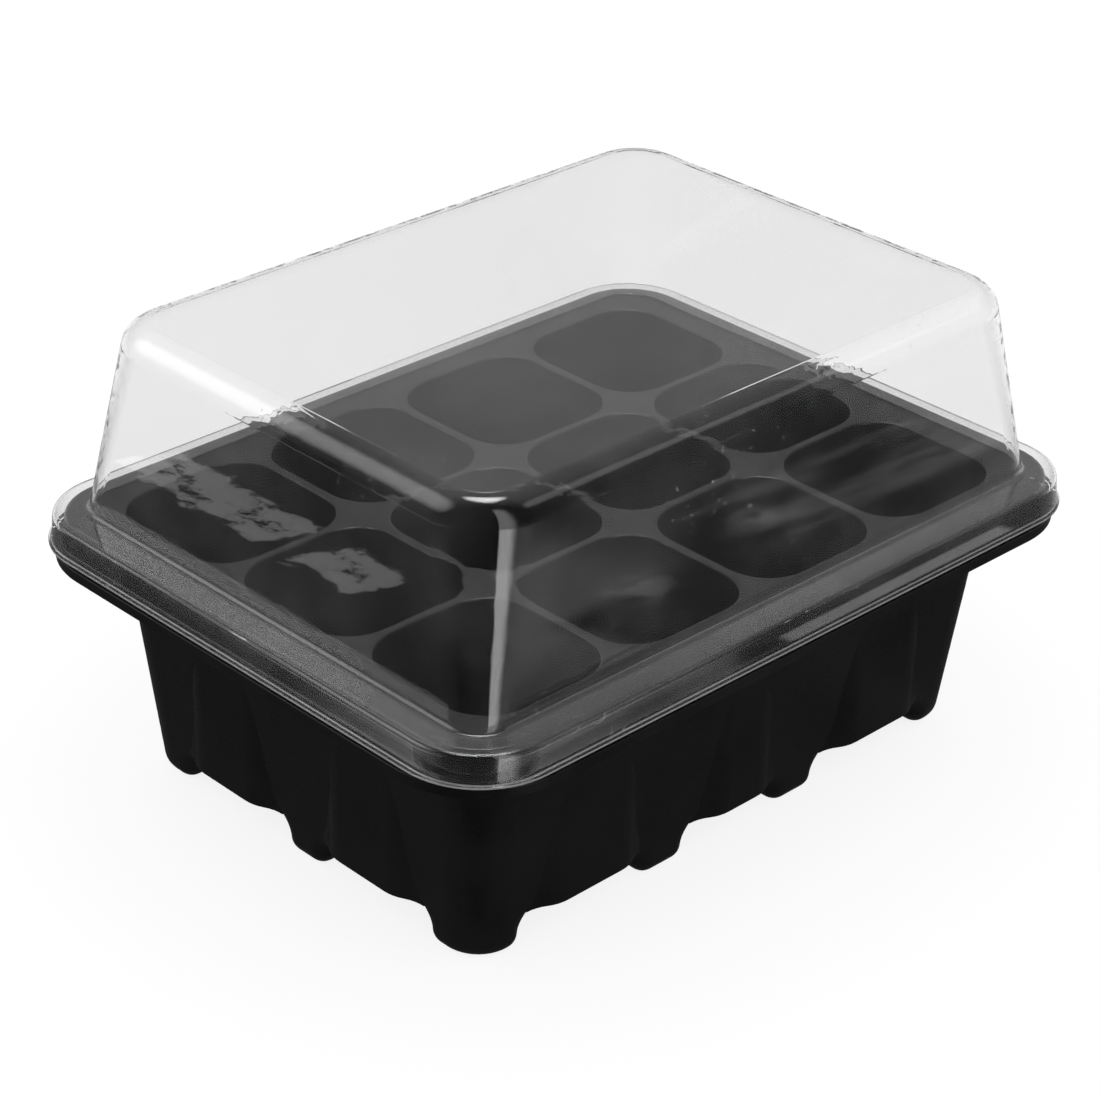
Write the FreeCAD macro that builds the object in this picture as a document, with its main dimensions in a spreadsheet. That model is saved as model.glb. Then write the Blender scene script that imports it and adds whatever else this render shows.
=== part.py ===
import FreeCAD, Part
import math
import os
import Sketcher

# Humidity dome tray: a clear dome over a twelve-cell insert that nests in a drip tray.
# Millimetres. Origin on the ground under the centre, +Z up, +X along the long side.

DIMENSIONS = {
    # overall plan and heights
    "rim_length": 180,
    "rim_width": 140,
    "rim_corner": 18,
    "rim_height": 60.7,
    "full_height": 103,
    # sheets and how their rims stack
    "dome_sheet": 0.5,
    "tray_sheet": 0.4,
    "base_sheet": 0.5,
    "stack_gap": 0.1,
    "step_height": 5.9,
    "step_round": 1.2,
    "step_flare": 0.5,
    "dome_lip_setback": 0.2,
    "dome_step_inset": 1.4,
    "tray_lip_setback": 0.8,
    "tray_step_inset": 3.8,
    "base_step_inset": 4.8,
    "base_lip_corner": 22,
    "turned_edge": 1.7,
    # dome
    "dome_foot_length": 161.4,
    "dome_foot_width": 121.4,
    "dome_foot_corner": 7.4,
    "dome_foot_round": 1.2,
    "dome_top_length": 152,
    "dome_top_width": 112,
    "dome_top_corner": 13.9,
    "dome_top_round": 6,
    # planting cells
    "cells_along": 4,
    "cells_across": 3,
    "cell_pitch": 38.3,
    "cell_mouth": 36.2,
    "cell_mouth_corner": 10,
    "cell_mouth_round": 0.5,
    "cell_floor": 24.4,
    "cell_floor_round": 3,
    "cell_underside": 9.3,
    "drain_radius": 4,
    # drip tray
    "well_top_length": 154.4,
    "well_top_width": 114.8,
    "well_top_corner": 10.2,
    "well_foot_length": 143.2,
    "well_foot_width": 102.6,
    "well_foot_corner": 9,
    "channel_height": 8.4,
    "channel_round": 4.7,
    "foot_round": 3.4,
    "middle_channel": 26.4,
    "side_channel": 32.8,
    "side_channel_centre": 42.6,
    "row_channel": 31.4,
    "row_channel_centre": 21.5,
    # wall panels between the feet
    "panel_proud": 2.4,
    "panel_fade_height": 36,
    "panel_bend": 4.5,
    "panel_root": 4,
}

# how close directions, ends and edges must be to count as the same
PARALLEL = 1e-6
CREASE = 0.2
MEETING = 1e-4
ON_OUTLINE = 0.08

UPWARD = FreeCAD.Vector(0, 0, 1)

# the sketcher's numbers for the places on a piece and for the sketch's own axes and origin
START, END, CENTRE = 1, 2, 3
X_AXIS, Y_AXIS = -1, -2
ORIGIN = (X_AXIS, START)

doc = FreeCAD.newDocument("HumidityDomeTray")
sheet = doc.addObject("Spreadsheet::Sheet", "Dims")
for row, (alias, value) in enumerate(DIMENSIONS.items(), 1):
    sheet.set(f"A{row}", alias.replace("_", " "))
    sheet.set(f"B{row}", str(value))
    sheet.setAlias(f"B{row}", alias)
doc.recompute()


def size(formula):
    """Present value of a formula of sheet dimensions."""
    return float(sheet.evalExpression(formula))


def point(x, y):
    return FreeCAD.Vector(x, y, 0)


def origin_plane(body, role):
    return next(feature for feature in body.Origin.OriginFeatures if feature.Role == role)


def place_sketch(body, name, plane, height="0", across="0", along="0", turn=0):
    """New sketch on an origin plane of the body, moved along the plane's own axes."""
    sketch = body.newObject("Sketcher::SketchObject", name)
    sketch.AttachmentSupport = [(origin_plane(body, plane), "")]
    sketch.MapMode = "FlatFace"
    sketch.AttachmentOffset = FreeCAD.Placement(point(0, 0), FreeCAD.Rotation(turn, 0, 0))
    sketch.setExpression("AttachmentOffset.Base.x", along)
    sketch.setExpression("AttachmentOffset.Base.y", across)
    sketch.setExpression("AttachmentOffset.Base.z", height)
    return sketch


def name_size(sketch, constraint, name, formula):
    """Add a dimension to a sketch and bind it to a formula."""
    index = sketch.addConstraint(constraint)
    sketch.renameConstraint(index, name)
    sketch.setExpression(f"Constraints.{name}", formula)


def join_pieces(sketch, pieces):
    """Draw a closed run of lines and arcs, joined end to end and tangent where they run smooth."""
    sketch.addGeometry(pieces, False)
    for index, piece in enumerate(pieces):
        after = (index + 1) % len(pieces)
        for end, other in ((START, START), (START, END), (END, START), (END, END)):
            here = piece.StartPoint if end == START else piece.EndPoint
            there = pieces[after].StartPoint if other == START else pieces[after].EndPoint
            if here.distanceToPoint(there) < MEETING:
                heading = piece.tangent(piece.parameter(here))[0]
                onward = pieces[after].tangent(pieces[after].parameter(there))[0]
                smooth = heading.cross(onward).Length < PARALLEL
                kind = "Tangent" if smooth else "Coincident"
                sketch.addConstraint(Sketcher.Constraint(kind, index, end, after, other))
                break


def arc(centre, radius, start_degrees, end_degrees):
    circle = Part.Circle(centre, UPWARD, radius)
    return Part.ArcOfCircle(circle, math.radians(start_degrees), math.radians(end_degrees))


def rounded_outline(sketch, length, width, corner):
    """Rectangle with round corners, centred on the sketch origin, sized by three formulas."""
    half_x = size(length) / 2
    half_y = size(width) / 2
    radius = size(corner)
    inner_x = half_x - radius
    inner_y = half_y - radius
    pieces = [
        Part.LineSegment(point(-inner_x, -half_y), point(inner_x, -half_y)),
        arc(point(inner_x, -inner_y), radius, 270, 360),
        Part.LineSegment(point(half_x, -inner_y), point(half_x, inner_y)),
        arc(point(inner_x, inner_y), radius, 0, 90),
        Part.LineSegment(point(inner_x, half_y), point(-inner_x, half_y)),
        arc(point(-inner_x, inner_y), radius, 90, 180),
        Part.LineSegment(point(-half_x, inner_y), point(-half_x, -inner_y)),
        arc(point(-inner_x, -inner_y), radius, 180, 270),
    ]
    join_pieces(sketch, pieces)
    bottom, right, top, left = 0, 2, 4, 6
    corners = (1, 3, 5, 7)
    for line in (bottom, top):
        sketch.addConstraint(Sketcher.Constraint("Horizontal", line))
    for line in (right, left):
        sketch.addConstraint(Sketcher.Constraint("Vertical", line))
    for other in corners[1:]:
        sketch.addConstraint(Sketcher.Constraint("Equal", corners[0], other))
    sketch.addConstraint(Sketcher.Constraint("Symmetric", bottom, START, top, START, *ORIGIN))
    across = Sketcher.Constraint("DistanceX", left, START, right, START, 2 * half_x)
    name_size(sketch, across, "length", length)
    upward = Sketcher.Constraint("DistanceY", bottom, START, top, START, 2 * half_y)
    name_size(sketch, upward, "width", width)
    name_size(sketch, Sketcher.Constraint("Radius", corners[0], radius), "corner", corner)


def loft(body, name, kind, first, second):
    """Straight loft between two outlines; each outline is (height, length, width, corner, along, across)."""
    sections = []
    for label, outline in (("Start", first), ("End", second)):
        height, length, width, corner, along, across = outline
        section = place_sketch(body, name + label, "XY_Plane", height, across, along)
        rounded_outline(section, length, width, corner)
        sections.append(section)
    feature = body.newObject(f"PartDesign::{kind}Loft", name)
    feature.Profile = (sections[0], [""])
    feature.Sections = [(sections[1], [""])]
    feature.Ruled = True
    doc.recompute()
    return feature


def outline(height, length, width, corner, along="0", across="0"):
    return (height, length, width, corner, along, across)


def edges_on_outline(shape, height, length, width, along=0, across=0):
    """Names of the edges that follow a rounded outline at one height."""
    names = []
    for number, edge in enumerate(shape.Edges, 1):
        ends = [vertex.Point for vertex in edge.Vertexes]
        level = all(abs(end.z - height) < ON_OUTLINE for end in ends)
        reach_x = [abs(abs(end.x - along) - length / 2) for end in ends]
        reach_y = [abs(abs(end.y - across) - width / 2) for end in ends]
        near = all(min(gap_x, gap_y) < ON_OUTLINE for gap_x, gap_y in zip(reach_x, reach_y))
        inside = all(
            abs(end.x - along) < length / 2 + ON_OUTLINE and abs(end.y - across) < width / 2 + ON_OUTLINE
            for end in ends
        )
        if level and near and inside:
            names.append(f"Edge{number}")
    return names


def fillet(body, name, base, edges, radius):
    """Round the named edges of a feature."""
    rounding = body.newObject("PartDesign::Fillet", name)
    rounding.Base = (base, edges)
    rounding.setExpression("Radius", radius)
    doc.recompute()
    return rounding


def fillet_outline(body, name, base, height, length, width, radius):
    edges = edges_on_outline(base.Shape, size(height), size(length), size(width))
    return fillet(body, name, base, edges, radius)


def add_rim(body, top, step_inset, lip_setback, lip_corner, thickness, turned_edge="0"):
    """Stepped rim of a sheet: flat top, flared step, lip and, where one is given, a turned-down edge."""
    lip_top = f"{top} - Dims.step_height"
    lip_underside = f"{lip_top} - {thickness}"
    lip_foot = f"{lip_underside} - {turned_edge}"
    lip = (
        f"Dims.rim_length - 2 * {lip_setback}",
        f"Dims.rim_width - 2 * {lip_setback}",
        lip_corner,
    )

    def step(inset):
        return (
            f"Dims.rim_length - 2 * ({step_inset} + {inset})",
            f"Dims.rim_width - 2 * ({step_inset} + {inset})",
            f"Dims.rim_corner - {step_inset} - {inset}",
        )

    def lip_inside(inset):
        return (
            f"{lip[0]} - 2 * {inset}",
            f"{lip[1]} - 2 * {inset}",
            f"{lip[2]} - {inset}",
        )

    loft(body, "Lip", "Additive", outline(lip_foot, *lip), outline(lip_top, *lip))
    solid = loft(
        body,
        "Step",
        "Additive",
        outline(lip_top, *step("-Dims.step_flare")),
        outline(top, *step("0")),
    )
    solid = fillet_outline(body, "StepRound", solid, top, *step("0")[:2], "Dims.step_round")
    solid = fillet_outline(
        body, "StepFoot", solid, lip_top, *step("-Dims.step_flare")[:2], "Dims.step_round / 2"
    )
    solid = fillet_outline(body, "LipRound", solid, lip_top, *lip[:2], f"{thickness} * 0.6")
    under = f"{top} - {thickness}"
    if turned_edge != "0":
        solid = loft(
            body,
            "LipSpace",
            "Subtractive",
            outline(lip_foot, *lip_inside(thickness)),
            outline(lip_underside, *lip_inside(thickness)),
        )
    solid = loft(
        body,
        "StepSpace",
        "Subtractive",
        outline(lip_underside, *step(f"{thickness} - Dims.step_flare")),
        outline(under, *step(thickness)),
    )
    return fillet_outline(
        body, "StepSpaceRound", solid, under, *step(thickness)[:2], f"Dims.step_round - {thickness}"
    )


def build_dome():
    """Clear cover: drafted walls with a soft top edge standing on a stepped rim."""
    body = doc.addObject("PartDesign::Body", "dome")
    foot = "Dims.rim_height"
    thickness = "Dims.dome_sheet"

    def foot_outline(inset):
        return (
            f"Dims.dome_foot_length - 2 * {inset}",
            f"Dims.dome_foot_width - 2 * {inset}",
            f"Dims.dome_foot_corner - {inset}",
        )

    def top_outline(inset):
        return (
            f"Dims.dome_top_length - 2 * {inset}",
            f"Dims.dome_top_width - 2 * {inset}",
            f"Dims.dome_top_corner - {inset}",
        )

    add_rim(body, foot, "Dims.dome_step_inset", "Dims.dome_lip_setback", "Dims.rim_corner", thickness)
    crown = "Dims.full_height"
    ceiling = f"{crown} - {thickness}"
    solid = loft(
        body, "Walls", "Additive", outline(foot, *foot_outline("0")), outline(crown, *top_outline("0"))
    )
    solid = loft(
        body,
        "Inside",
        "Subtractive",
        outline(f"{foot} - {thickness}", *foot_outline(thickness)),
        outline(ceiling, *top_outline(thickness)),
    )
    solid = fillet_outline(
        body, "InsideTop", solid, ceiling, *top_outline(thickness)[:2], f"Dims.dome_top_round - {thickness}"
    )
    solid = fillet_outline(body, "TopRound", solid, crown, *top_outline("0")[:2], "Dims.dome_top_round")
    solid = fillet_outline(
        body,
        "InsideFoot",
        solid,
        f"{foot} - {thickness}",
        *foot_outline(thickness)[:2],
        f"Dims.dome_foot_round + {thickness}",
    )
    fillet_outline(body, "FootRound", solid, foot, *foot_outline("0")[:2], "Dims.dome_foot_round")
    return body


def pattern(body, name, originals, steps):
    """Repeat features in rows; each step is (axis role, spacing formula, count formula)."""
    grid = body.newObject("PartDesign::MultiTransform", name)
    rows = []
    for role, spacing, count in steps:
        row = doc.addObject("PartDesign::LinearPattern", name + role[0])
        body.addObject(row)
        row.Direction = (origin_plane(body, role), [""])
        row.setExpression("Length", f"{spacing} * ({count} - 1)")
        row.setExpression("Occurrences", count)
        rows.append(row)
    grid.Originals = originals
    grid.Transformations = rows
    body.Tip = grid
    doc.recompute()
    return grid


def mirror_copies(body, name, originals, roles):
    """Mirror features across the named upright planes."""
    group = body.newObject("PartDesign::MultiTransform", name)
    mirrors = []
    for role in roles:
        mirror = doc.addObject("PartDesign::Mirrored", name + role[:2])
        body.addObject(mirror)
        mirror.MirrorPlane = (origin_plane(body, role), [""])
        mirrors.append(mirror)
    group.Originals = originals
    group.Transformations = mirrors
    body.Tip = group
    doc.recompute()
    return group


def cell_centres():
    """Plan positions of the planting cells."""
    along = DIMENSIONS["cells_along"]
    across = DIMENSIONS["cells_across"]
    pitch = DIMENSIONS["cell_pitch"]
    return [
        ((column - (along - 1) / 2) * pitch, (row - (across - 1) / 2) * pitch)
        for column in range(along)
        for row in range(across)
    ]


def fillet_cells(body, name, base, height, side, radius):
    """Round one square outline in every cell."""
    edges = []
    for along, across in cell_centres():
        edges += edges_on_outline(base.Shape, size(height), size(side), size(side), along, across)
    return fillet(body, name, base, edges, radius)


def build_cell_tray():
    """Insert: twelve tapered cells hanging from a flat margin with a stepped rim."""
    body = doc.addObject("PartDesign::Body", "cell_tray")
    thickness = "Dims.tray_sheet"
    top = "Dims.rim_height - Dims.dome_sheet - Dims.stack_gap"
    floor = f"Dims.cell_underside + {thickness}"
    along = "-(Dims.cells_along - 1) / 2 * Dims.cell_pitch"
    across = "-(Dims.cells_across - 1) / 2 * Dims.cell_pitch"
    floor_corner = "Dims.cell_mouth_corner - (Dims.cell_mouth - Dims.cell_floor) / 2"
    outer_floor = f"Dims.cell_floor + 2 * {thickness}"
    outer_mouth = f"Dims.cell_mouth + 2 * {thickness}"

    def cell(height, side, corner):
        return outline(height, side, side, corner, along, across)

    add_rim(body, top, "Dims.tray_step_inset", "Dims.tray_lip_setback", "Dims.rim_corner", thickness)
    cup = loft(
        body,
        "Cell",
        "Additive",
        cell("Dims.cell_underside", outer_floor, f"{floor_corner} + {thickness}"),
        cell(top, outer_mouth, f"Dims.cell_mouth_corner + {thickness}"),
    )
    space = loft(
        body,
        "CellSpace",
        "Subtractive",
        cell(floor, "Dims.cell_floor", floor_corner),
        cell(top, "Dims.cell_mouth", "Dims.cell_mouth_corner"),
    )
    hole = place_sketch(body, "DrainOutline", "XY_Plane", floor, across, along)
    radius = size("Dims.drain_radius")
    ring = hole.addGeometry(Part.Circle(point(0, 0), UPWARD, radius), False)
    hole.addConstraint(Sketcher.Constraint("Coincident", ring, CENTRE, *ORIGIN))
    name_size(hole, Sketcher.Constraint("Radius", ring, radius), "radius", "Dims.drain_radius")
    drain = body.newObject("PartDesign::Pocket", "Drain")
    drain.Profile = hole
    drain.setExpression("Length", f"2 * {thickness}")
    doc.recompute()
    solid = pattern(
        body,
        "Cells",
        [cup, space, drain],
        (
            ("X_Axis", "Dims.cell_pitch", "Dims.cells_along"),
            ("Y_Axis", "Dims.cell_pitch", "Dims.cells_across"),
        ),
    )
    solid = fillet_cells(
        body, "CellFloorRound", solid, floor, "Dims.cell_floor", f"Dims.cell_floor_round - {thickness}"
    )
    solid = fillet_cells(
        body, "CellUnderRound", solid, "Dims.cell_underside", outer_floor, "Dims.cell_floor_round"
    )
    fillet_cells(body, "CellMouthRound", solid, top, "Dims.cell_mouth", "Dims.cell_mouth_round")
    return body


BASE_TOP = "Dims.rim_height - Dims.dome_sheet - Dims.tray_sheet - 2 * Dims.stack_gap"


def channel(body, name, plane, centre, width, inset):
    """Round-topped channel cut right across the underside."""
    sketch = place_sketch(body, name + "Arch", plane, "0", inset, centre)
    clear = f"{width} + 2 * {inset}"
    round_formula = f"Dims.channel_round + {inset}"
    half = size(clear) / 2
    height = size("Dims.channel_height")
    radius = size(round_formula)
    pieces = [
        Part.LineSegment(point(-half, -height), point(half, -height)),
        Part.LineSegment(point(half, -height), point(half, height - radius)),
        arc(point(half - radius, height - radius), radius, 0, 90),
        Part.LineSegment(point(half - radius, height), point(radius - half, height)),
        arc(point(radius - half, height - radius), radius, 90, 180),
        Part.LineSegment(point(-half, height - radius), point(-half, -height)),
    ]
    join_pieces(sketch, pieces)
    under, right, right_round, roof, left_round, left = range(len(pieces))
    for rule in (
        ("Symmetric", under, START, under, END, Y_AXIS),
        ("Vertical", right),
        ("Vertical", left),
        ("Horizontal", roof),
        ("Equal", right_round, left_round),
    ):
        sketch.addConstraint(Sketcher.Constraint(*rule))
    side_to_side = Sketcher.Constraint("DistanceX", under, START, under, END, 2 * half)
    name_size(sketch, side_to_side, "clear", clear)
    name_size(sketch, Sketcher.Constraint("Radius", right_round, radius), "round", round_formula)
    above_ground = Sketcher.Constraint("DistanceY", *ORIGIN, roof, START, height)
    name_size(sketch, above_ground, "height", "Dims.channel_height")
    below_ground = Sketcher.Constraint("DistanceY", under, START, *ORIGIN, height)
    name_size(sketch, below_ground, "below", "Dims.channel_height")
    cut = body.newObject("PartDesign::Pocket", name)
    cut.Profile = sketch
    cut.Type = "ThroughAll"
    cut.Midplane = True
    doc.recompute()
    return cut


def creased_edges(shape, highest):
    """Names of the edges up to a height where two faces meet at an angle."""
    names = []
    for number, edge in enumerate(shape.Edges, 1):
        middle = edge.valueAt((edge.FirstParameter + edge.LastParameter) / 2)
        faces = shape.ancestorsOfType(edge, Part.Face)
        normals = [face.normalAt(*face.Surface.parameter(middle)) for face in faces]
        low = all(vertex.Z < highest + ON_OUTLINE for vertex in edge.Vertexes)
        if low and normals[0].getAngle(normals[-1]) > CREASE:
            names.append(f"Edge{number}")
    return names


def panel_outline(sketch, length):
    """Plan of a wall panel: a flat front that runs back to the wall through two bends at each end."""
    half = size(length) / 2
    bend = size("Dims.panel_bend")
    proud = size("Dims.panel_proud")
    root = size("Dims.panel_root")
    radius = (bend**2 + proud**2 / 4) / proud
    sweep = math.degrees(math.asin(bend / radius))
    front = half - 2 * bend
    pieces = [
        Part.LineSegment(point(-half, root), point(-half, 0)),
        arc(point(-half, -radius), radius, 90 - sweep, 90),
        arc(point(-front, radius - proud), radius, 270 - sweep, 270),
        Part.LineSegment(point(-front, -proud), point(front, -proud)),
        arc(point(front, radius - proud), radius, 270, 270 + sweep),
        arc(point(half, -radius), radius, 90, 90 + sweep),
        Part.LineSegment(point(half, 0), point(half, root)),
        Part.LineSegment(point(half, root), point(-half, root)),
    ]
    join_pieces(sketch, pieces)
    left, left_hollow, left_bend, face, right_bend, right_hollow, right, back = range(len(pieces))
    for rule in (
        ("Vertical", left),
        ("Vertical", right),
        ("Horizontal", face),
        ("Horizontal", back),
        ("Vertical", left_hollow, CENTRE, left_hollow, END),
        ("Vertical", right_hollow, CENTRE, right_hollow, START),
        ("Equal", left_hollow, left_bend),
        ("Equal", left_hollow, right_bend),
        ("Equal", left_hollow, right_hollow),
        ("Symmetric", left, END, right, START, Y_AXIS),
        ("PointOnObject", left, END, X_AXIS),
    ):
        sketch.addConstraint(Sketcher.Constraint(*rule))
    end_to_end = Sketcher.Constraint("DistanceX", left, END, right, START, 2 * half)
    name_size(sketch, end_to_end, "length", length)
    stand = Sketcher.Constraint("DistanceY", face, START, left, END, proud)
    name_size(sketch, stand, "proud", "Dims.panel_proud")
    one_bend = Sketcher.Constraint("DistanceX", left, END, left_hollow, START, bend)
    name_size(sketch, one_bend, "bend", "Dims.panel_bend")
    into_wall = Sketcher.Constraint("DistanceY", left, END, left, START, root)
    name_size(sketch, into_wall, "root", "Dims.panel_root")


def wall_at(axis, height):
    """Half size of the well's outer wall at a height."""
    foot = f"Dims.well_foot_{axis}"
    spread = f"(Dims.well_top_{axis} - {foot})"
    return f"({foot} + {spread} * ({height}) / ({BASE_TOP})) / 2"


def panel(body, name, axis, centre, length, inset):
    """Wall panel that stands proud just above the channels and fades into the wall higher up."""
    sections = []
    levels = (
        ("Foot", f"Dims.channel_height + {inset}", inset),
        ("Fade", "Dims.panel_fade_height", f"{inset} + Dims.panel_proud"),
    )
    for label, height, back in levels:
        line = f"{back} - {wall_at(axis, height)}"
        if axis == "width":
            section = place_sketch(body, name + label, "XY_Plane", height, line, centre)
        else:
            section = place_sketch(body, name + label, "XY_Plane", height, centre, line, turn=-90)
        panel_outline(section, length)
        sections.append(section)
    feature = body.newObject("PartDesign::AdditiveLoft", name)
    feature.Profile = (sections[0], [""])
    feature.Sections = [(sections[1], [""])]
    feature.Ruled = True
    doc.recompute()
    return feature


def add_well(body, inset):
    """Solid of the drip tray's well, brought in by a sheet thickness for the space inside it."""
    foot = (
        f"Dims.well_foot_length - 2 * {inset}",
        f"Dims.well_foot_width - 2 * {inset}",
        f"Dims.well_foot_corner - {inset}",
    )
    mouth = (
        f"Dims.well_top_length - 2 * {inset}",
        f"Dims.well_top_width - 2 * {inset}",
        f"Dims.well_top_corner - {inset}",
    )
    loft(body, "Well", "Additive", outline(inset, *foot), outline(BASE_TOP, *mouth))
    channel(body, "MiddleChannel", "XZ_Plane", "0", "Dims.middle_channel", inset)
    side = channel(body, "SideChannel", "XZ_Plane", "Dims.side_channel_centre", "Dims.side_channel", inset)
    mirror_copies(body, "SideChannels", [side], ["YZ_Plane"])
    row = channel(body, "RowChannel", "YZ_Plane", "Dims.row_channel_centre", "Dims.row_channel", inset)
    feet = mirror_copies(body, "RowChannels", [row], ["XZ_Plane"])
    edges = creased_edges(feet.Shape, size(f"Dims.channel_height + {inset}"))
    fillet(body, "FeetRound", feet, edges, f"Dims.foot_round - {inset}")
    middle = panel(body, "MiddlePanel", "width", "0", "Dims.middle_channel", inset)
    mirror_copies(body, "MiddlePanels", [middle], ["XZ_Plane"])
    side = panel(body, "SidePanel", "width", "Dims.side_channel_centre", "Dims.side_channel", inset)
    mirror_copies(body, "SidePanels", [side], ["XZ_Plane", "YZ_Plane"])
    end = panel(body, "EndPanel", "length", "Dims.row_channel_centre", "Dims.row_channel", inset)
    mirror_copies(body, "EndPanels", [end], ["XZ_Plane", "YZ_Plane"])


def build_base_tray():
    """Drip tray: stepped rim with a turned-down edge around a well with small feet."""
    space = doc.addObject("PartDesign::Body", "WellSpace")
    mouth = place_sketch(space, "MouthOutline", "XY_Plane", BASE_TOP)
    rounded_outline(
        mouth,
        "Dims.well_top_length - 2 * Dims.base_sheet",
        "Dims.well_top_width - 2 * Dims.base_sheet",
        "Dims.well_top_corner - Dims.base_sheet",
    )
    opening = space.newObject("PartDesign::Pad", "Mouth")
    opening.Profile = mouth
    opening.setExpression("Length", "Dims.base_sheet")
    doc.recompute()
    add_well(space, "Dims.base_sheet")
    body = doc.addObject("PartDesign::Body", "base_tray")
    add_rim(
        body,
        BASE_TOP,
        "Dims.base_step_inset",
        "0",
        "Dims.base_lip_corner",
        "Dims.base_sheet",
        "Dims.turned_edge",
    )
    add_well(body, "0")
    hollow = body.newObject("PartDesign::Boolean", "Hollow")
    hollow.setObjects([space])
    hollow.Type = "Cut"
    doc.recompute()
    return body


def check(parts):
    """Stop if any feature failed or any sub-part is empty or broken."""
    for item in doc.Objects:
        if "Invalid" in item.State or "Error" in item.State:
            raise RuntimeError(f"{item.Label} did not build")
    for part in parts:
        if part.Shape.isNull() or not part.Shape.isValid() or len(part.Shape.Solids) != 1:
            raise RuntimeError(f"{part.Label} is not one sound solid")


sub_parts = [build_base_tray(), build_cell_tray(), build_dome()]
doc.recompute()
check(sub_parts)
os.makedirs("parts", exist_ok=True)
for part in sub_parts:
    part.Shape.exportStep(f"parts/{part.Label}.step")
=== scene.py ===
import math

import bpy
from mathutils import Matrix, Vector

# Humidity dome tray on a pale floor: clear dome, black cell insert, black drip tray.
# Metres, +Z up, +X along the long side. The near corner in view is (-X, -Y).

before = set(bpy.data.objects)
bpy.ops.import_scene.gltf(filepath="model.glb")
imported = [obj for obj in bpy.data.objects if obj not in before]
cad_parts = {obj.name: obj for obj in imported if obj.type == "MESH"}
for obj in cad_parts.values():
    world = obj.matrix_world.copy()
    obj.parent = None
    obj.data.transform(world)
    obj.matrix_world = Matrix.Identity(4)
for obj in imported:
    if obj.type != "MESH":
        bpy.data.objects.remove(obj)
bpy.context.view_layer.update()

MM = 0.001
ALONG_LENGTH = Vector((1, 0, 0))
ALONG_WIDTH = Vector((0, 1, 0))
UPWARD = Vector((0, 0, 1))
AZIMUTH = math.radians(-44.53)
TOWARD_CAMERA = Vector((math.sin(AZIMUTH), -math.cos(AZIMUTH), 0))
IMAGE_RIGHT = Vector((math.cos(AZIMUTH), math.sin(AZIMUTH), 0))


# --- shader building --------------------------------------------------------------------------

def new_material(name):
    material = bpy.data.materials.new(name)
    material.use_nodes = True
    material.node_tree.nodes.clear()
    return material, material.node_tree


def set_input(tree, socket, value):
    """Link a socket, or set a plain value, on an input."""
    if isinstance(value, bpy.types.NodeSocket):
        tree.links.new(value, socket)
    else:
        socket.default_value = value


def calc(tree, operation, first, second=0.0):
    node = tree.nodes.new("ShaderNodeMath")
    node.operation = operation
    set_input(tree, node.inputs[0], first)
    set_input(tree, node.inputs[1], second)
    return node.outputs[0]


def total(tree, *values):
    result = values[0]
    for value in values[1:]:
        result = calc(tree, "ADD", result, value)
    return result


def product(tree, *values):
    result = values[0]
    for value in values[1:]:
        result = calc(tree, "MULTIPLY", result, value)
    return result


def vector_calc(tree, operation, vector, fixed):
    """Vector maths node that works on a linked vector and a fixed one."""
    node = tree.nodes.new("ShaderNodeVectorMath")
    node.operation = operation
    tree.links.new(vector, node.inputs[0])
    node.inputs[1].default_value = fixed
    return node


def along(tree, vector, direction):
    """Share of a vector that points along a fixed direction."""
    return vector_calc(tree, "DOT_PRODUCT", vector, direction).outputs["Value"]


def fade(tree, value, start, end, low=0.0, high=1.0):
    """Smooth change from low to high as a value goes from start to end."""
    node = tree.nodes.new("ShaderNodeMapRange")
    node.interpolation_type = "SMOOTHSTEP"
    tree.links.new(value, node.inputs["Value"])
    for name, number in (("From Min", start), ("From Max", end), ("To Min", low), ("To Max", high)):
        set_input(tree, node.inputs[name], number)
    return node.outputs["Result"]


def turn_fade(tree, bearing, start, end, low=0.0, high=1.0):
    """Fade over a bearing in radians, with its start and end given in degrees."""
    return fade(tree, bearing, math.radians(start), math.radians(end), low, high)


def noise(tree, coords, scale, detail, roughness, stretch=1.0, turn=0.0):
    """Cloudy noise, drawn out by a factor along a direction turned from +X by some degrees."""
    node = tree.nodes.new("ShaderNodeTexNoise")
    node.inputs["Scale"].default_value = scale
    node.inputs["Detail"].default_value = detail
    node.inputs["Roughness"].default_value = roughness
    if stretch != 1.0:
        turned = tree.nodes.new("ShaderNodeVectorRotate")
        turned.inputs["Angle"].default_value = -math.radians(turn)
        tree.links.new(coords, turned.inputs["Vector"])
        squeeze = (1 / stretch, 1, 1)
        coords = vector_calc(tree, "MULTIPLY", turned.outputs["Vector"], squeeze).outputs["Vector"]
    tree.links.new(coords, node.inputs["Vector"])
    return node.outputs["Fac"]


def bump(tree, height, strength, distance):
    node = tree.nodes.new("ShaderNodeBump")
    node.inputs["Strength"].default_value = strength
    node.inputs["Distance"].default_value = distance
    tree.links.new(height, node.inputs["Height"])
    return node.outputs["Normal"]


def grey(level):
    return (level, level, level, 1)


def diffuse(tree, level):
    node = tree.nodes.new("ShaderNodeBsdfDiffuse")
    node.inputs["Color"].default_value = grey(level)
    return node.outputs["BSDF"]


def emission(tree, strength):
    node = tree.nodes.new("ShaderNodeEmission")
    set_input(tree, node.inputs["Strength"], strength)
    return node.outputs["Emission"]


def mix_shaders(tree, share, first, second):
    node = tree.nodes.new("ShaderNodeMixShader")
    set_input(tree, node.inputs["Fac"], share)
    tree.links.new(first, node.inputs[1])
    tree.links.new(second, node.inputs[2])
    return node.outputs["Shader"]


def finish_surface(tree, shader):
    out = tree.nodes.new("ShaderNodeOutputMaterial")
    tree.links.new(shader, out.inputs["Surface"])


def object_coords(tree):
    return tree.nodes.new("ShaderNodeTexCoord").outputs["Object"]


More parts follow.
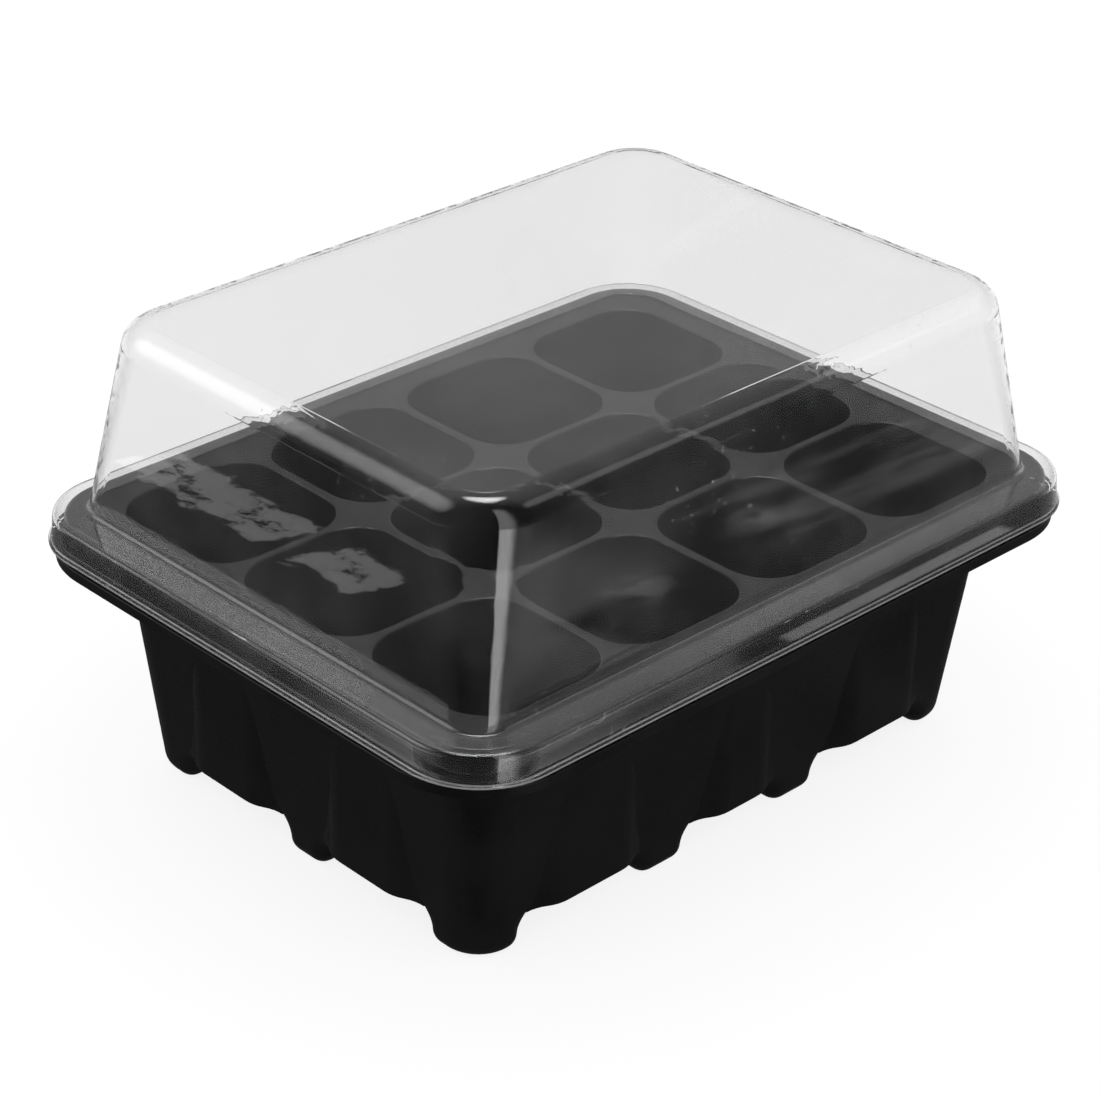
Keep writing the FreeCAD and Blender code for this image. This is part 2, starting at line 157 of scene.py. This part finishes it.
# --- materials --------------------------------------------------------------------------------

PATCH_START = 0.3
PATCH_END = 0.7
DOME_LIP_TOP = 54.8 * MM
CUT_EDGE_FADE = 0.1 * MM


def black_plastic(name, shade, specular, roughness, wave):
    """Pressed black sheet: near-black body, slow waves and patchy gloss."""
    material, tree = new_material(name)
    coords = object_coords(tree)
    body = tree.nodes.new("ShaderNodeBsdfPrincipled")
    patch = noise(tree, coords, scale=60.0, detail=4.0, roughness=0.55)
    tone = tree.nodes.new("ShaderNodeCombineColor")
    level = fade(tree, patch, PATCH_START, PATCH_END, low=shade * 0.8, high=shade * 1.2)
    for channel in ("Red", "Green", "Blue"):
        tree.links.new(level, tone.inputs[channel])
    tree.links.new(tone.outputs["Color"], body.inputs["Base Color"])
    body.inputs["Specular IOR Level"].default_value = specular
    gloss = fade(tree, patch, PATCH_START, PATCH_END, low=roughness * 0.8, high=roughness * 1.25)
    tree.links.new(gloss, body.inputs["Roughness"])
    slow = noise(tree, coords, scale=25.0, detail=1.0, roughness=0.4)
    tree.links.new(bump(tree, slow, strength=0.2, distance=wave), body.inputs["Normal"])
    finish_surface(tree, body.outputs["BSDF"])
    return material


def glass(tree, coords):
    """Smooth refracting sheet with slow waves."""
    body = tree.nodes.new("ShaderNodeBsdfPrincipled")
    body.inputs["Base Color"].default_value = grey(1)
    body.inputs["Transmission Weight"].default_value = 1.0
    body.inputs["IOR"].default_value = 1.5
    body.inputs["Roughness"].default_value = 0.0
    slow = noise(tree, coords, scale=18.0, detail=1.0, roughness=0.45)
    tree.links.new(bump(tree, slow, strength=0.1, distance=0.1 * MM), body.inputs["Normal"])
    return body.outputs["BSDF"]


def haze_share(tree, coords):
    """Faint cloudy haze all over, with fine specks in the scuffed areas."""
    clouds = noise(tree, coords, scale=40.0, detail=6.0, roughness=0.6)
    haze = fade(tree, clouds, 0.35, 0.75, low=0.002, high=0.015)
    dots = noise(tree, coords, scale=800.0, detail=1.0, roughness=0.5)
    specks = fade(tree, dots, 0.70, 0.78, high=0.16)
    areas = noise(tree, coords, scale=22.0, detail=3.0, roughness=0.6)
    scuffed = fade(tree, areas, 0.56, 0.68)
    return total(tree, haze, product(tree, specks, scuffed))


def cut_edge_share(tree, coords):
    """Share of grey on the upright cut edge of the dome's lip, 0 elsewhere."""
    height = along(tree, coords, UPWARD)
    normal = tree.nodes.new("ShaderNodeNewGeometry").outputs["Normal"]
    tilt = calc(tree, "ABSOLUTE", along(tree, normal, UPWARD))
    low_down = fade(tree, height, DOME_LIP_TOP + CUT_EDGE_FADE, DOME_LIP_TOP - CUT_EDGE_FADE)
    upright = fade(tree, tilt, 0.7, 0.4)
    return product(tree, low_down, upright, 0.75)


def clear_plastic(name):
    """Clear pressed sheet: refracts the view, lets shadow and diffuse rays straight through."""
    material, tree = new_material(name)
    coords = object_coords(tree)
    sheet = mix_shaders(tree, haze_share(tree, coords), glass(tree, coords), diffuse(tree, 0.9))
    edged = mix_shaders(tree, cut_edge_share(tree, coords), sheet, diffuse(tree, 0.22))
    clear = tree.nodes.new("ShaderNodeBsdfTransparent")
    clear.inputs["Color"].default_value = grey(0.97)
    path = tree.nodes.new("ShaderNodeLightPath")
    straight = calc(tree, "MAXIMUM", path.outputs["Is Shadow Ray"], path.outputs["Is Diffuse Ray"])
    finish_surface(tree, mix_shaders(tree, straight, edged, clear.outputs["BSDF"]))
    return material


def dress(name, material):
    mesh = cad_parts[name].data
    mesh.materials.clear()
    mesh.materials.append(material)


base_black = black_plastic("base_black", shade=0.005, specular=0.25, roughness=0.3, wave=0.3 * MM)
insert_black = black_plastic("insert_black", shade=0.006, specular=0.5, roughness=0.18, wave=0.15 * MM)
dress("base_tray", base_black)
dress("cell_tray", insert_black)
dress("dome", clear_plastic("dome_clear"))


# --- camera -----------------------------------------------------------------------------------

ELEVATION = math.radians(29.1)
ROLL = math.radians(1.349)
FOCAL_SHARE = 2.82536
SHIFT_RIGHT = 2.87 * MM
SHIFT_UP = 13.26 * MM
DISTANCE = 647.4 * MM
TARGET_HEIGHT = 60.7 * MM
SENSOR = 36.0
NEAREST_SEEN = 10 * MM


def place_camera():
    """Camera that looks down at the near corner, shifted a little and rolled slightly."""
    back = TOWARD_CAMERA * math.cos(ELEVATION) + UPWARD * math.sin(ELEVATION)
    level_up = IMAGE_RIGHT.cross(-back)
    right = IMAGE_RIGHT * math.cos(ROLL) + level_up * math.sin(ROLL)
    up = level_up * math.cos(ROLL) - IMAGE_RIGHT * math.sin(ROLL)
    place = back * DISTANCE - right * SHIFT_RIGHT - up * SHIFT_UP + UPWARD * TARGET_HEIGHT
    data = bpy.data.cameras.new("camera")
    data.sensor_width = SENSOR
    data.lens = FOCAL_SHARE * SENSOR
    data.clip_start = NEAREST_SEEN
    camera = bpy.data.objects.new("camera", data)
    camera.matrix_world = Matrix((
        (right.x, up.x, back.x, place.x),
        (right.y, up.y, back.y, place.y),
        (right.z, up.z, back.z, place.z),
        (0, 0, 0, 1),
    ))
    bpy.context.scene.collection.objects.link(camera)
    bpy.context.scene.camera = camera


place_camera()


# --- studio -----------------------------------------------------------------------------------
# Bearings are in degrees, 0 toward the camera and + to image right. What is seen directly, or
# through the dome, is white. What is seen mirrored is a dim room with lamps and a floor with a
# painted glow pattern, which paints reflections onto the dome and the trays.

FLOOR_SIZE = 6
FLOOR_GREY = 0.92
FLOOR_GLOW = 1.06
GLOW_SHARE = 0.8

# Bearings on the floor are measured from this point, just inside the near corner.
LIGHT_CENTRE = Vector((-75, -55, 0)) * MM


def mirrored(tree):
    """1 once a ray has been mirrored by a glossy surface, else 0."""
    path = tree.nodes.new("ShaderNodeLightPath")
    return calc(tree, "GREATER_THAN", path.outputs["Glossy Depth"], 0.5)


def right_of_corner(tree, bearing):
    """0 left of the bright stripe, 1 from its left edge on."""
    return turn_fade(tree, bearing, 24, 27)


def stripe_wedge(tree, bearing):
    """1 in the wedge of bearings that holds the bright stripe, with a sharp left and a soft right edge."""
    return product(tree, right_of_corner(tree, bearing), turn_fade(tree, bearing, 58, 40))


def heading(bearing, height):
    """Unit direction at a bearing and a height angle, both in degrees."""
    turn = math.radians(bearing)
    rise = math.radians(height)
    level = TOWARD_CAMERA * math.cos(turn) + IMAGE_RIGHT * math.sin(turn)
    return level * math.cos(rise) + UPWARD * math.sin(rise)


def softbox(tree, direction, bearing, height, edge, core, strength):
    """Round lamp seen in reflections, fading out from its core angle to its edge angle."""
    share = along(tree, direction, heading(bearing, height))
    return fade(tree, share, math.cos(math.radians(edge)), math.cos(math.radians(core)), high=strength)


def reflected_room(tree):
    """Dim room as reflections see it: a lit back wall, a tall window and three round lamps."""
    direction = tree.nodes.new("ShaderNodeTexCoord").outputs["Generated"]
    front = along(tree, direction, TOWARD_CAMERA)
    rise = along(tree, direction, UPWARD)
    bearing = calc(tree, "ARCTAN2", along(tree, direction, IMAGE_RIGHT), front)
    window = product(tree, stripe_wedge(tree, bearing), fade(tree, rise, 0.95, 0.85), 1.3)
    back_wall = fade(tree, rise, 0.1, 0.42, low=0.72, high=0.4)
    walls = fade(tree, front, 0.2, -0.4, low=0.024, high=back_wall)
    left_lamp = softbox(tree, direction, bearing=-97, height=37, edge=28, core=3, strength=1.5)
    right_lamp = softbox(tree, direction, bearing=96, height=38, edge=11, core=3, strength=0.65)
    back_lamp = softbox(tree, direction, bearing=180, height=71, edge=16, core=5, strength=7.5)
    return total(tree, walls, window, left_lamp, right_lamp, back_lamp)


def build_world():
    """White room for the eye and for soft light, and a dim room for reflections."""
    world = bpy.data.worlds.new("studio")
    world.use_nodes = True
    tree = world.node_tree
    tree.nodes.clear()
    background = tree.nodes.new("ShaderNodeBackground")
    background.inputs["Color"].default_value = grey(1)
    strength = fade(tree, mirrored(tree), 0.0, 1.0, low=1.0, high=reflected_room(tree))
    tree.links.new(strength, background.inputs["Strength"])
    out = tree.nodes.new("ShaderNodeOutputWorld")
    tree.links.new(background.outputs["Background"], out.inputs["Surface"])
    world.cycles.sampling_method = "NONE"
    bpy.context.scene.world = world


def spot(tree, position, centre, inner, outer):
    """1 within the inner distance of a point on the floor, fading to 0 at the outer one, all in mm."""
    away = vector_calc(tree, "DISTANCE", position, Vector(centre) * MM).outputs["Value"]
    return fade(tree, away, outer * MM, inner * MM)


def band(tree, value, low, high, soft):
    """1 between two distances, fading to 0 over a soft width outside them, all in mm."""
    middle = (low + high) / 2 * MM
    half = (high - low) / 2 * MM
    away = calc(tree, "ABSOLUTE", calc(tree, "SUBTRACT", value, middle))
    return fade(tree, away, half + soft * MM, half)


def painted_glare_area(tree, position):
    """Where the painted glare lies, a faint floor glow seen only in reflections: on the near part of the
    floor, then only where the top of the wall looks.
    """
    x = along(tree, position, ALONG_LENGTH)
    y = along(tree, position, ALONG_WIDTH)
    near_part = fade(tree, x, 75 * MM, 62 * MM)
    high_up = product(tree, fade(tree, x, 130 * MM, 95 * MM), fade(tree, y, -203 * MM, -215 * MM))
    return calc(tree, "MAXIMUM", near_part, high_up)


def corner_light(tree, position):
    """Painted floor light round the near corner, seen only in reflections: a bright stripe, a faint glare
    past it, a dark gap before it and a glow beside both.
    """
    moved = vector_calc(tree, "SUBTRACT", position, LIGHT_CENTRE).outputs["Vector"]
    ahead = along(tree, moved, TOWARD_CAMERA)
    side = along(tree, moved, IMAGE_RIGHT)
    bearing = calc(tree, "ARCTAN2", side, ahead)
    reach = calc(tree, "SQRT", total(tree, product(tree, ahead, ahead), product(tree, side, side)))
    far = fade(tree, reach, 120 * MM, 200 * MM)
    stripe = product(tree, stripe_wedge(tree, bearing), far, 3.0)
    past_stripe = turn_fade(tree, bearing, 40, 56)
    painted_glare = product(tree, past_stripe, painted_glare_area(tree, position), far, 0.28)
    beside_gap = total(tree, right_of_corner(tree, bearing), turn_fade(tree, bearing, -50, -55))
    through_dome = tree.nodes.new("ShaderNodeLightPath").outputs["Transmission Depth"]
    near = product(tree, fade(tree, reach, 165 * MM, 115 * MM), fade(tree, through_dome, 0.4, 0.6))
    glow = product(tree, beside_gap, near, 1.2)
    sides = turn_fade(tree, calc(tree, "ABSOLUTE", bearing), 50, 58, low=0.02, high=0.08)
    behind = fade(tree, ahead, -150 * MM, -300 * MM, high=0.85)
    return total(tree, stripe, painted_glare, glow, sides, behind)


def left_painted_reflections(tree, position):
    """Painted reflection: ragged glowing patches on the floor, seen only in reflections, that the dome's
    left wall mirrors, in two stretches.
    """
    x = along(tree, position, ALONG_LENGTH)
    y = along(tree, position, ALONG_WIDTH)
    long_stretch = band(tree, y, low=152, high=208, soft=10)
    short_stretch = band(tree, y, low=116, high=136, soft=8)
    stretches = total(tree, long_stretch, short_stretch)
    shape = product(tree, band(tree, x, low=-233, high=-219, soft=16), stretches)
    cloud = noise(tree, position, scale=110.0, detail=9.0, roughness=0.8, stretch=1.3, turn=75)
    return product(tree, fade(tree, total(tree, shape, product(tree, cloud, 3.0)), 2.3, 2.4), 0.7)


def right_painted_streak_reflections(tree, position):
    """Painted reflection: drawn-out glowing streaks on the floor, seen only in reflections, that the
    dome's right wall mirrors.
    """
    x = along(tree, position, ALONG_LENGTH)
    y = along(tree, position, ALONG_WIDTH)
    across = band(tree, y, low=-230, high=-200, soft=10)
    shape = product(tree, across, band(tree, x, low=145, high=230, soft=18))
    streaks = noise(tree, position, scale=40.0, detail=5.0, roughness=0.55, stretch=5.0, turn=8)
    return product(tree, shape, fade(tree, streaks, 0.42, 0.6), 0.3)


def right_painted_reflection_spots(tree, position):
    """Painted reflection: two cloudy glowing spots on the floor, seen only in reflections, that the dome's
    right wall mirrors.
    """
    first = spot(tree, position, centre=(97, -207, 0), inner=2, outer=16)
    second = spot(tree, position, centre=(152, -217, 0), inner=2, outer=13)
    cloud = noise(tree, position, scale=70.0, detail=6.0, roughness=0.6)
    return product(tree, total(tree, first, second), fade(tree, cloud, 0.4, 0.6), 0.4)


def skirt_painted_highlight_strip(tree, position):
    """Painted highlight: a thin bright strip glowing on the floor, seen only in reflections, that the
    dome's right skirt mirrors.
    """
    x = along(tree, position, ALONG_LENGTH)
    y = along(tree, position, ALONG_WIDTH)
    across = band(tree, y, low=-159.3, high=-156, soft=1)
    return product(tree, across, band(tree, x, low=87, high=166, soft=4), 0.8)


def reflected_floor(tree):
    """Painted glow on the floor that only reflections see, which paints reflections onto the dome and the
    trays: dark in front, lit behind, patterned at the sides.
    """
    position = tree.nodes.new("ShaderNodeNewGeometry").outputs["Position"]
    return total(
        tree,
        corner_light(tree, position),
        left_painted_reflections(tree, position),
        right_painted_streak_reflections(tree, position),
        right_painted_reflection_spots(tree, position),
        skirt_painted_highlight_strip(tree, position),
    )


def build_floor():
    """Pale floor that takes a faint shadow; rays mirrored onto it see a painted glow pattern instead."""
    bpy.ops.mesh.primitive_plane_add(size=FLOOR_SIZE, location=(0, 0, 0))
    floor = bpy.context.object
    floor.name = "floor"
    material, tree = new_material("floor_white")
    pale = mix_shaders(tree, GLOW_SHARE, diffuse(tree, FLOOR_GREY), emission(tree, FLOOR_GLOW))
    # Painted glow that paints reflections onto the dome and trays; only mirrored rays see it.
    painted_reflection_glow = emission(tree, reflected_floor(tree))
    finish_surface(tree, mix_shaders(tree, mirrored(tree), pale, painted_reflection_glow))
    material.cycles.emission_sampling = "NONE"
    floor.data.materials.append(material)


build_world()
build_floor()

bpy.context.scene.view_settings.view_transform = "Standard"
